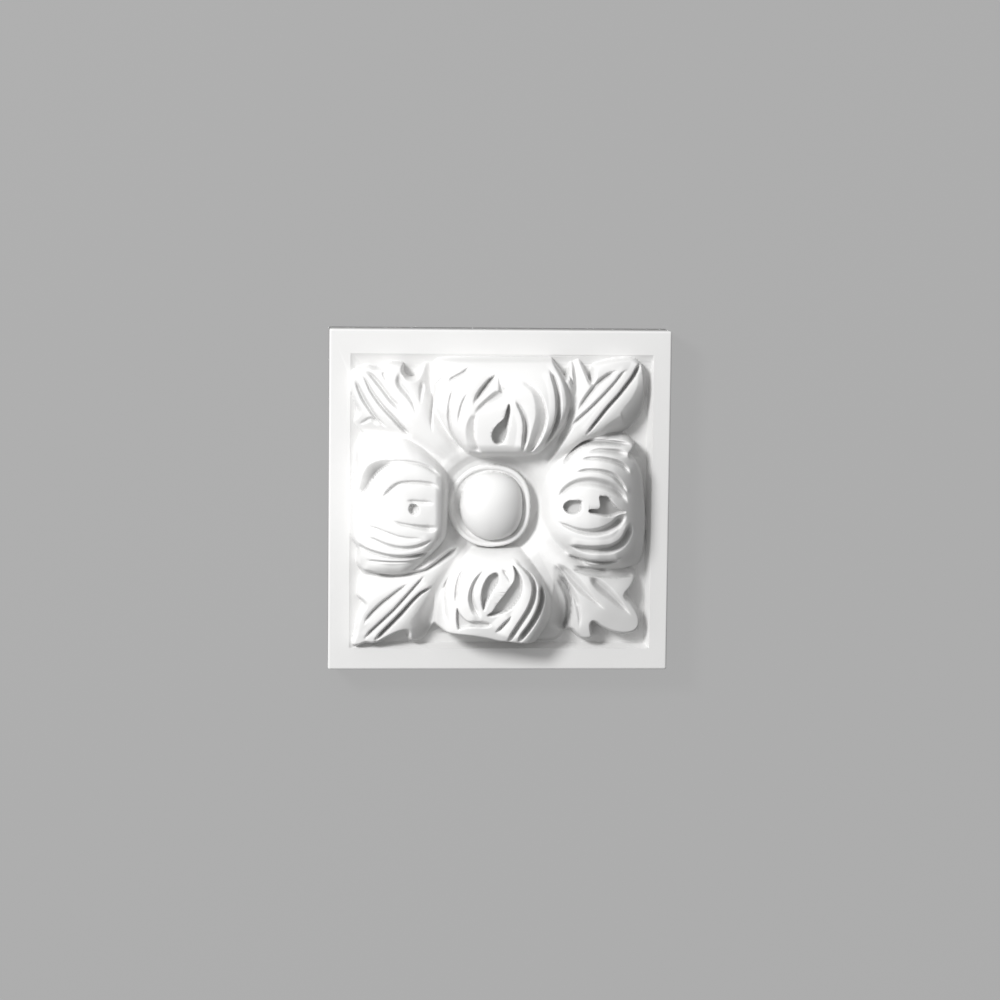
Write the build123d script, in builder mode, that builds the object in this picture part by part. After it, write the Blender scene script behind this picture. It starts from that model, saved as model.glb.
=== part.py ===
"""Square corner block with a carved acanthus rosette, for the corners of a door or window casing.

One moulded piece in a single solid. The back lies on the XY plane, the face looks along +Z,
+X is to the right and +Y is up as the block hangs on a wall. The origin is the centre of the back.
All lengths are millimetres. A rise is a height above the face of the border.
"""

import os
from math import atan, degrees, sqrt

from build123d import *

# Plinth: the plain square block and its flat border
block_side = 100.0
plinth_depth = 14.0
border_width = 6.0
outer_edge_bevel = 0.6

# Recess inside the border, with a bevelled rim
recess_depth = 3.2
recess_bevel_width = 1.5

# Rosette as a whole; its centre lies a little to the left of the block's centre and below it
rosette_rise = 16.4
rosette_root_depth = 3.0
rosette_centre_x = -2.9
rosette_centre_y = -0.8

# Core that the carving grows from: a moat round the button, its wall, and a slope outwards
moat_radius = 14.0
moat_rise = 3.8
shoulder_radius = 18.5
shoulder_rise = 6.6
brow_radius = 28.0
brow_rise = 5.8
skirt_radius = 39.5
skirt_rise = 0.5

# Central button, a round dome, and the thin ring round its seat
button_radius = 9.5
button_centre_rise = 4.4
seat_rise = 5.4
ring_outer_radius = 12.0
ring_width = 1.8
ring_rise = 6.9
ring_bevel = 0.5

# Four bulbous lobes, one in the middle of each side; the lower one stops short of the rim
quarter_turns = 4
lobe_start_radius = 14.0
lobe_rim_gap = 1.8
lower_lobe_rim_gap = 4.0
lobe_half_width = 20.0
lobe_fullness = 3.4
lobe_foot_rise = -2.0
lobe_strands = 9
lobe_strand_height = 1.8
lobe_strand_lean = 0.22

# Teardrop eyes in the crests of the lobes, each with a flat rim
eye_depth = 3.6
eye_rim_width = 1.1

# Four ribbed leaves along the diagonals
leaf_start_radius = 16.0
leaf_half_width = 9.4
leaf_fullness = 1.6
leaf_foot_rise = -2.0
leaf_crest_rise = 9.0
leaf_ribs = 5
leaf_rib_height = 1.2

# Side leaflets of each leaf, set back from its tip
leaflet_tip_setback = 8.5
leaflet_offset = 5.0
leaflet_swing = 25.0
leaflet_length = 20.0
leaflet_half_width = 5.4
leaflet_fullness = 1.6
leaflet_foot_rise = -2.5
leaflet_crest_rise = 5.0
leaflet_ribs = 2
leaflet_rib_height = 0.9

# Levels and reaches that follow from the sizes above
opening_half = block_side / 2 - border_width
field_level = plinth_depth - recess_depth
root_level = field_level - rosette_root_depth
quarter_angle = 360 / quarter_turns
ring_inner_radius = ring_outer_radius - ring_width
ring_level = plinth_depth + ring_rise
seat_level = plinth_depth + seat_rise

# Gap between each leaf's tip and the corner of the opening, from the upper left leaf leftwards round
LEAF_CORNER_GAPS = [3.5, 2.5, 6.0, 3.5]

# Eyes by quarter, from the upper lobe leftwards round: distance out from the centre, offset to the
# lobe's right, rise, tilt towards the button, swing of the point to the lobe's left, radius, length
EYES = [
    (0, 20.0, -1.1, 15.3, 5, -15, 2.0, 9.8),
    (1, 25.8, -0.8, 16.0, 0, -80, 1.5, 2.4),
    (2, 21.5, 3.1, 15.6, 3, -14, 1.8, 8.8),
    (2, 29.4, 0.4, 15.9, -2, 149, 2.3, 11.6),
    (3, 19.7, 0.0, 15.1, 8, 0, 2.0, 3.4),
    (3, 27.6, 0.2, 16.1, -12, 0, 2.2, 8.2),
]

# Outlines: share of the length, of the half width and of the crest's rise
LOBE_OUTLINE = [
    (0.00, 0.46, 0.40),
    (0.14, 0.70, 0.86),
    (0.46, 1.00, 1.00),
    (0.80, 0.97, 0.74),
    (1.00, 0.76, 0.22),
]
LEAF_OUTLINE = [
    (0.00, 0.36, 0.50),
    (0.25, 0.74, 0.97),
    (0.50, 1.00, 0.93),
    (0.80, 0.74, 0.57),
    (1.00, 0.10, 0.18),
]
LEAFLET_OUTLINE = [
    (0.00, 0.75, 1.00),
    (0.55, 1.00, 0.75),
    (1.00, 0.14, 0.05),
]


def ridged_section(reach, half_width, foot, crest, fullness, ridges, height, lean):
    """Upright face at a distance along +Y: a row of ridges on an arch, closed at the root level.

    The arch is flatter on top and steeper at its sides the higher its fullness is. The lean moves
    each ridge's edge away from the crest, as a share of the ridge's width, so that the inner ridges
    seem to lie over the outer ones.
    """
    shares = [1 - 2 * k / ridges for k in range(ridges + 1)]
    grooves = [
        (half_width * share, foot + (crest - foot) * sqrt(1 - abs(share) ** fullness))
        for share in shares
    ]
    edge = [grooves[0]]
    for k, ((x0, z0), (x1, z1)) in enumerate(zip(grooves, grooves[1:])):
        side = (k > (ridges - 1) / 2) - (k < (ridges - 1) / 2)
        share = 0.5 + lean * side
        chord = sqrt((x1 - x0) ** 2 + (z1 - z0) ** 2)
        edge.append(
            (
                x0 + share * (x1 - x0) + height * (z1 - z0) / chord,
                z0 + share * (z1 - z0) - height * (x1 - x0) / chord,
            )
        )
        edge.append((x1, z1))
    with BuildSketch(Plane.XZ.offset(-reach)) as section:
        with BuildLine():
            Polyline(*edge, (-half_width, root_level), (half_width, root_level), close=True)
        make_face()
    return section.sketch


def ridged_sections(
    outline, start, length, half_width, foot_rise, crest_rise, fullness, ridges, height, lean=0
):
    """Sections of a ridged form that grows along +Y from start."""
    return [
        ridged_section(
            start + along * length,
            half_width * width_share,
            plinth_depth + foot_rise,
            plinth_depth + (crest_rise - height) * rise_share,
            fullness,
            ridges,
            height * width_share,
            lean,
        )
        for along, width_share, rise_share in outline
    ]


def teardrop(radius, length):
    """Teardrop sketch with its round end about the origin and its point along +Y."""
    tangent_angle = degrees(atan(sqrt(length**2 - radius**2) / radius))
    with BuildSketch() as drop:
        with BuildLine():
            round_end = CenterArc((0, 0), radius, 90 + tangent_angle, 360 - 2 * tangent_angle)
            Polyline(round_end @ 1, (0, length), round_end @ 0)
        make_face()
    return drop.sketch


def lobe(rim_gap):
    """Lobe along +Y, whose strands run like meridians from the moat out to a gap from the rim."""
    with BuildPart() as body:
        loft(
            sections=ridged_sections(
                LOBE_OUTLINE,
                lobe_start_radius,
                opening_half - rim_gap - lobe_start_radius,
                lobe_half_width,
                lobe_foot_rise,
                rosette_rise,
                lobe_fullness,
                lobe_strands,
                lobe_strand_height,
                lobe_strand_lean,
            )
        )
    return body.part


def leaf(tip_radius):
    """Leaf along +Y, flatter than a lobe and drawn out to a tip."""
    with BuildPart() as body:
        loft(
            sections=ridged_sections(
                LEAF_OUTLINE,
                leaf_start_radius,
                tip_radius - leaf_start_radius,
                leaf_half_width,
                leaf_foot_rise,
                leaf_crest_rise,
                leaf_fullness,
                leaf_ribs,
                leaf_rib_height,
            )
        )
    return body.part


def eye(quarter, reach, aside, rise, tilt, swing, radius, length):
    """Flat rim of an eye, and the hole that goes into it and clears the strands above it."""
    place = Location((aside, reach, plinth_depth + rise), (tilt, 0, swing))
    plane = Plane(Location((0, 0, 0), (0, 0, quarter * quarter_angle)) * place)
    with BuildPart() as rim:
        with BuildSketch(plane):
            add(teardrop(radius, length))
            offset(amount=eye_rim_width)
        extrude(amount=-eye_depth - eye_rim_width)
    with BuildPart() as hole:
        with BuildSketch(plane):
            add(teardrop(radius, length))
        extrude(amount=eye_depth, both=True)
    return rim.part, hole.part


# Side leaflet along +Y from the origin, creased along its middle
with BuildPart() as leaflet:
    loft(
        sections=ridged_sections(
            LEAFLET_OUTLINE,
            0,
            leaflet_length,
            leaflet_half_width,
            leaflet_foot_rise,
            leaflet_crest_rise,
            leaflet_fullness,
            leaflet_ribs,
            leaflet_rib_height,
        )
    )

# Lobes from the upper one leftwards round, and leaves and eyes in the same order
lobe_rim_gaps = [lobe_rim_gap, lobe_rim_gap, lower_lobe_rim_gap, lobe_rim_gap]
lobes = [lobe(rim_gap) for rim_gap in lobe_rim_gaps]
leaf_tip_radii = [opening_half * sqrt(2) - corner_gap for corner_gap in LEAF_CORNER_GAPS]
leaves = [leaf(tip_radius) for tip_radius in leaf_tip_radii]
eyes = [eye(*sizes) for sizes in EYES]

# Axis of the rosette, and an upright plane through it
rosette_centre = (rosette_centre_x, rosette_centre_y, 0)
rosette_axis = Axis(rosette_centre, (0, 0, 1))
rosette_plane = Plane(rosette_centre, x_dir=(1, 0, 0), z_dir=(0, -1, 0))

with BuildPart() as rosette_block:
    # Plain square block
    with BuildSketch():
        Rectangle(block_side, block_side)
    extrude(amount=plinth_depth)
    face_edges = rosette_block.edges().group_by(Axis.Z)[-1]
    upright_edges = rosette_block.edges().filter_by(Axis.Z)
    chamfer(face_edges + upright_edges, outer_edge_bevel)

    # Recess with its bevelled rim
    with BuildSketch(Plane.XY.offset(plinth_depth)):
        Rectangle(2 * opening_half, 2 * opening_half)
    extrude(
        amount=-recess_depth,
        taper=degrees(atan(recess_bevel_width / recess_depth)),
        mode=Mode.SUBTRACT,
    )

    # Core, turned about the rosette's own axis
    with BuildSketch(rosette_plane):
        with BuildLine():
            moat_floor = Line(
                (0, plinth_depth + moat_rise), (moat_radius, plinth_depth + moat_rise)
            )
            moat_wall = Line(moat_floor @ 1, (shoulder_radius, plinth_depth + shoulder_rise))
            shoulder = Line(moat_wall @ 1, (brow_radius, plinth_depth + brow_rise))
            skirt = Line(shoulder @ 1, (skirt_radius, plinth_depth + skirt_rise))
            Polyline(skirt @ 1, (skirt_radius, root_level), (0, root_level), moat_floor @ 0)
        make_face()
    revolve(axis=rosette_axis)

    # Seat of the button with the ring round it, whose top edges are bevelled
    with BuildSketch(rosette_plane):
        with BuildLine():
            Polyline(
                (0, seat_level),
                (ring_inner_radius, seat_level),
                (ring_inner_radius, ring_level - ring_bevel),
                (ring_inner_radius + ring_bevel, ring_level),
                (ring_outer_radius - ring_bevel, ring_level),
                (ring_outer_radius, ring_level - ring_bevel),
                (ring_outer_radius, root_level),
                (0, root_level),
                close=True,
            )
        make_face()
    revolve(axis=rosette_axis)

    # Button, a ball sunk into its seat
    with Locations((rosette_centre_x, rosette_centre_y, plinth_depth + button_centre_rise)):
        Sphere(button_radius)

    # Lobes and leaves round the block's centre, with a leaflet on each side of each leaf
    for quarter in range(quarter_turns):
        with Locations(Location((0, 0, 0), (0, 0, quarter * quarter_angle))):
            add(lobes[quarter])
        diagonal = Location((0, 0, 0), (0, 0, (quarter + 0.5) * quarter_angle))
        with Locations(diagonal):
            add(leaves[quarter])
        leaflet_start = leaf_tip_radii[quarter] - leaflet_tip_setback - leaflet_length
        for side in (-1, 1):
            foot = Location(
                (side * leaflet_offset, leaflet_start, 0), (0, 0, -side * leaflet_swing)
            )
            with Locations(diagonal * foot):
                add(leaflet.part)

    # Eyes: all rims first, so that none closes the hole of its neighbour
    for rim, hole in eyes:
        add(rim)
    for rim, hole in eyes:
        add(hole, mode=Mode.SUBTRACT)

rosette_block.part.label = "rosette_block"
os.makedirs("parts", exist_ok=True)
export_step(rosette_block.part, "parts/rosette_block.step")
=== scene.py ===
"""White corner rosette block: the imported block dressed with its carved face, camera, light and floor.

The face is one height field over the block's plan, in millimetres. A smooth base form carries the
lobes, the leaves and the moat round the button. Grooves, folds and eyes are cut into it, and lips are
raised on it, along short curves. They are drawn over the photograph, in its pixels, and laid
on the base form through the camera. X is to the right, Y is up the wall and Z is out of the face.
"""

from math import cos, pi, radians, sin

import bpy
import numpy as np
from mathutils import Matrix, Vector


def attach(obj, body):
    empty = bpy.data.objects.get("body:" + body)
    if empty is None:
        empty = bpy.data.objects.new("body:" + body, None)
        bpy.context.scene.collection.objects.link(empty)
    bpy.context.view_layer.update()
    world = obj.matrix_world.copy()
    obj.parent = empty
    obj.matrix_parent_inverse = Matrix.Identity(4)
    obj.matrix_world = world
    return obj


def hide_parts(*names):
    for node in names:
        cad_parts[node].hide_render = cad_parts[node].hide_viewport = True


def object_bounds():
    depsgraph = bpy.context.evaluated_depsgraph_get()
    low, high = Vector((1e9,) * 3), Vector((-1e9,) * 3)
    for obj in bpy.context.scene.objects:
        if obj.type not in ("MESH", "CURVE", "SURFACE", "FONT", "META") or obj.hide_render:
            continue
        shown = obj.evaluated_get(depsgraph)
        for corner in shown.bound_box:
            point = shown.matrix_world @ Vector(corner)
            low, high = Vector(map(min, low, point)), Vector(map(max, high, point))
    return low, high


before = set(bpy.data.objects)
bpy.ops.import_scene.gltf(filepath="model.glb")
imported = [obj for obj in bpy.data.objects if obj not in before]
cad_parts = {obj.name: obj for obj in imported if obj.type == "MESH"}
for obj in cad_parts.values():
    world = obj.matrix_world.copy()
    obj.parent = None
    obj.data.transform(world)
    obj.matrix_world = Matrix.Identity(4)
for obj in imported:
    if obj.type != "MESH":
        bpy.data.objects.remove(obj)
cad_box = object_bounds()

MM = 0.001
TINY = 1e-12
ENDLESS = 1e9

# Plinth
HALF = round(float(cad_box[1][0]) / MM, 3)
FACE = 14.0
FLOOR = 10.8
OPENING_LEFT = -43.9
OPENING_RIGHT = 44.8
OPENING_BOTTOM = -43.7
OPENING_TOP = 43.0
BEVEL = 1.5
EDGE_ROUND = 0.6

# Mesh of the carved face, with the angles of the lines round an outer edge
FIELD_STEP = 0.2
BEVEL_LINES = 5
EDGE_ANGLES = (90, 68, 45, 22, 0)
OPENING_MARGIN = 0.3
MARK_REACH = 0.02
TRIANGLES = 190000

# Base form: pairs are (distance from the centre, rise above the face or half width)
CENTRE = (-3.1, -0.75)
LOBE_CENTRE = (-0.6, 0.1)
MOAT = [
    (0.0, 3.8), (13.4, 3.8), (14.6, 4.4), (16.2, 5.6), (18.5, 6.6), (22.0, 6.8), (27.0, 6.2),
    (32.0, 4.8), (38.0, 2.4), (46.0, -1.6), (70.0, -4.0),
]
MOAT_TILT = 0.14
MOAT_TILT_END = 20.0
MOAT_TILT_FADE = 8.0
OUTER_FALL = [(32.0, 14.6), (35.0, 12.8), (38.0, 10.0), (40.5, 6.8), (42.5, 3.6), (44.5, 0.0), (48.0, -3.0)]
STEEP_CREST = [
    (12.4, 1.5), (13.4, 5.0), (14.6, 11.4), (15.8, 14.6), (18.0, 15.9), (22.5, 16.1), (27.0, 15.8),
    *OUTER_FALL,
]
GENTLE_CREST = [
    (12.4, 1.5), (13.4, 5.4), (14.8, 9.0), (16.6, 11.8), (19.0, 13.9), (22.5, 15.3), (26.0, 15.8),
    (28.0, 15.7), *OUTER_FALL,
]
LOBE_WIDTH = [
    (11.0, 6.5), (13.5, 9.5), (18.0, 13.8), (24.0, 18.0), (29.0, 20.0), (36.0, 20.0),
    (42.0, 18.5), (48.0, 15.0),
]
LEAF_CREST = [
    (13.0, 2.0), (16.0, 4.5), (20.0, 7.0), (26.0, 8.6), (34.0, 9.0), (42.0, 7.6), (50.0, 5.0),
    (56.0, 3.0), (61.0, 1.4),
]
LEAF_WIDTH = [(13.0, 3.0), (20.0, 4.5), (28.0, 7.0), (36.0, 10.5), (45.0, 14.5), (53.0, 13.0), (61.0, 9.0)]
LEAF_SQUARE = 2.7
LEAF_BEND = 1
LOBE_BEND = 0.5
LOBE_FOOT = -2.0
LOBE_SUMMIT = 27.0
FAR_BELOW = -8.0
BLEND = 2.0

# What differs from lobe to lobe, clockwise from the top; a pair is for the anticlockwise side and the
# clockwise one. A setback moves the inner wall out, a stretch draws out the outer fall, and a taper
# narrows the anticlockwise side towards its outer end.
LOBE_CRESTS = [STEEP_CREST, GENTLE_CREST, GENTLE_CREST, STEEP_CREST]
LOBE_SQUARES = [(4.8, 4.8), (4.8, 3.4), (4.4, 4.2), (4.4, 4.8)]
LOBE_REACHES = [(1.0, 1.14), (1.0, 1.0), (0.8, 0.9), (1.12, 1.0)]
LOBE_SETBACKS = [0.0, 0.0, 0.0, 1.4]
LOBE_STRETCHES = [0.0, 0.0, 0.4, 0.0]
LOBE_TAPERS = [0.0, 0.0, 0.6, 0.0]
SETBACK_REACH = 10.0
TAPER_START = 30.0
TAPER_REACH = 7.0

# Rim of the carving, and the slow drop from the border into the opening: (distance, drop)
RIM_ROUND = 1.4
RIM_OVERLAP = 0.15
ROOT_DEPTH = 1.0
SLOW_DROP = [(0.0, 0.0), (0.5, 0.3), (3.0, 1.25), (6.0, 2.1), (12.0, 3.2)]

# Button, and the ring round it
BUTTON_HALF_WIDTH = 9.1
BUTTON_HALF_LENGTH = 9.9
BUTTON_SHIFT = 0.2
BUTTON_DOME = 7.6
BUTTON_FOOT_RISE = 6.2
SEAT_DROP = 0.25
SEAT_SLOPE = 0.7
RING_RADIUS = 11.3
RING_HALF_WIDTH = 0.75
RING_RISE = 6.6
RING_TILT = 0.06
RING_SHIFT = -0.35
RING_SQUARE = 2.4

# Way in which the light crosses the face: to the right and down
LIGHT_X = 0.79
LIGHT_Y = 0.61

# How drawn lines are laid on the base form
PIXELS_PER_MM = 3.4
FIRST_RISE = 8.0
LAYING_ROUNDS = 6
MEAN_DEPTH = 0.5
CURVE_STEPS = 6
EYE_STEPS = 4
OUTLINE_STEPS = 3
MARGIN = 1.0

# How the drawn dark side of a groove becomes a slot with shoulders
DARK_WIDTH = 0.9
DARK_SHIFT = 0.35
LEAST_DARK = 0.4
THIN_POWER = 0.7
SLOT_SHARE = 0.95
SHOULDER_SHARE = 0.2
SHOULDER_WIDTH = 0.5
SHOULDER_REACH = 1.25
SHOULDER_SPAN = 3.0
END_TAPER = 3.5
END_SHARE = 0.3
STEEPEST = 1.4

# Ends and walls of the folds, and walls of the eyes
FOLD_TAPER = 2.0
FOLD_WALL = 0.5
EYE_WALL = 0.6

# Camera, fitted to the block's corners in the photograph, which is 1000 pixels wide
CAMERA_AZIMUTH = 4.03
CAMERA_TILT = 6.31
CAMERA_ROLL = 0.644
CAMERA_DISTANCE = 884.0
CAMERA_TARGET = (1.08, -1.28)
CAMERA_LENS = 106.92
SENSOR_WIDTH = 36.0
PHOTO_WIDTH = 1000

# Paint: reflectance of the plain face, rising on the heights as painted light, and the painted shade in the
# cuts, eyes and moat
PAINT_LOW = 0.75
PAINT_HIGH = 0.82
PAINT_TINT = (1.0, 0.997, 0.99, 1)
PAINT_IOR = 1.45
PAINTED_LIGHT_RISE = 9.0
CAVITY_START = 0.4
CAVITY_DEPTH = 4.0
CAVITY_SHADE = 0.5
EYE_SHADE = 1.0
MOAT_SHADE = 0.9
MOAT_SHADE_RADIUS = 17.0
MOAT_SHADE_FADE = 3.0
MOAT_SHADE_SHIFT = 1.0

# Paint's mottle, sheen and grain: a noise, the span of its values in use, and what they do
MOTTLE = {"scale": 55.0, "detail": 4.0, "rough": 0.55}
MOTTLE_SPAN = (0.25, 0.75)
MOTTLE_SHARES = (0.985, 1.015)
SHEEN = {"scale": 140.0, "detail": 3.0, "rough": 0.6}
SHEEN_SPAN = (0.3, 0.7)
ROUGHNESSES = (0.72, 0.84)
GRAIN = {"scale": 1600.0, "detail": 2.0, "rough": 0.5}
GRAIN_STRENGTH = 0.12
GRAIN_DEPTH = 0.08

# Light and backdrop
KEY_AZIMUTH = 38.0
KEY_ELEVATION = 48.0
KEY_DISTANCE = 850.0
KEY_SIZE = 200.0
KEY_POWER = 5.9
FILL_NEAR = 0.8
FILL_FAR = 0.1
FILL_TURN = 0.5
BACKDROP_GREY = 0.423
FLOOR_HALF = 3000.0
FLOOR_BOUNCE = 0.4
BACKDROP_GLOW_SHARE = 0.92

# Outline of the carving, in photograph pixels
OUTLINE = [
    (350.5, 371.5), (354.4, 368.3), (361, 366.7), (368.9, 365), (375.6, 366.7), (381, 366.5),
    (384.4, 363.9), (392, 361), (402, 362), (404, 365), (403.5, 370), (406, 374.5), (410, 376.5),
    (415, 376), (419, 371), (421.5, 366), (425, 361), (436, 358), (460, 357.5), (498, 357.5),
    (530, 357.5), (549, 357.5), (552, 358), (555.5, 363), (560, 369.5), (564, 376), (566.5, 373),
    (568.5, 366), (571, 360), (579, 357.5), (581.5, 361), (585.5, 371), (590, 381), (591.5, 371),
    (592.5, 365), (600, 361.5), (612, 358.5), (625, 357), (633, 357.5), (639, 361), (643.5, 366),
    (645.5, 375), (646, 388), (645, 400), (644, 409), (639, 419), (631, 427), (623, 433), (629, 437),
    (634, 442.5), (632, 448.5), (628, 453), (634, 458), (640, 468), (643, 480), (645, 500), (646, 520),
    (645, 542), (642, 558), (638, 567), (637, 573), (635.6, 580), (631, 587), (625, 593.5),
    (631.6, 600.5), (638, 610), (640.6, 620), (638.4, 627.6), (632, 632.4), (621, 633.6), (610, 631),
    (600, 626), (591.5, 620.5), (591.5, 628), (592.5, 635), (588, 638.5), (580, 638), (574, 633),
    (570, 629), (565, 631), (561, 637), (553, 641), (537, 641), (520, 640), (505, 638), (495, 637),
    (485, 634.5), (470, 632), (455, 631), (445, 630), (440, 627), (434, 624.5), (430, 629), (426, 636),
    (421, 640.5), (411, 641), (407.5, 637), (406, 630), (396, 632.5), (385, 638.5), (374, 643.5),
    (366, 643), (359, 646), (352, 645.5), (351.5, 640), (354.5, 631), (356, 620), (360, 609),
    (363.5, 602.5), (357, 596), (356.5, 590), (358.5, 580), (361, 571.5), (357.5, 566), (355.5, 560),
    (357, 549), (355, 543.5), (350.5, 536), (349.2, 525), (348.8, 512), (349.3, 500), (351, 487),
    (354, 472), (356, 462), (355.5, 450), (357, 441), (360.5, 437.5), (362.5, 434), (358.9, 432),
    (353.3, 427), (349.6, 422), (353.3, 418), (357.5, 413), (357.5, 409), (353.3, 400), (350, 389),
    (349, 379),
]

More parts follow.
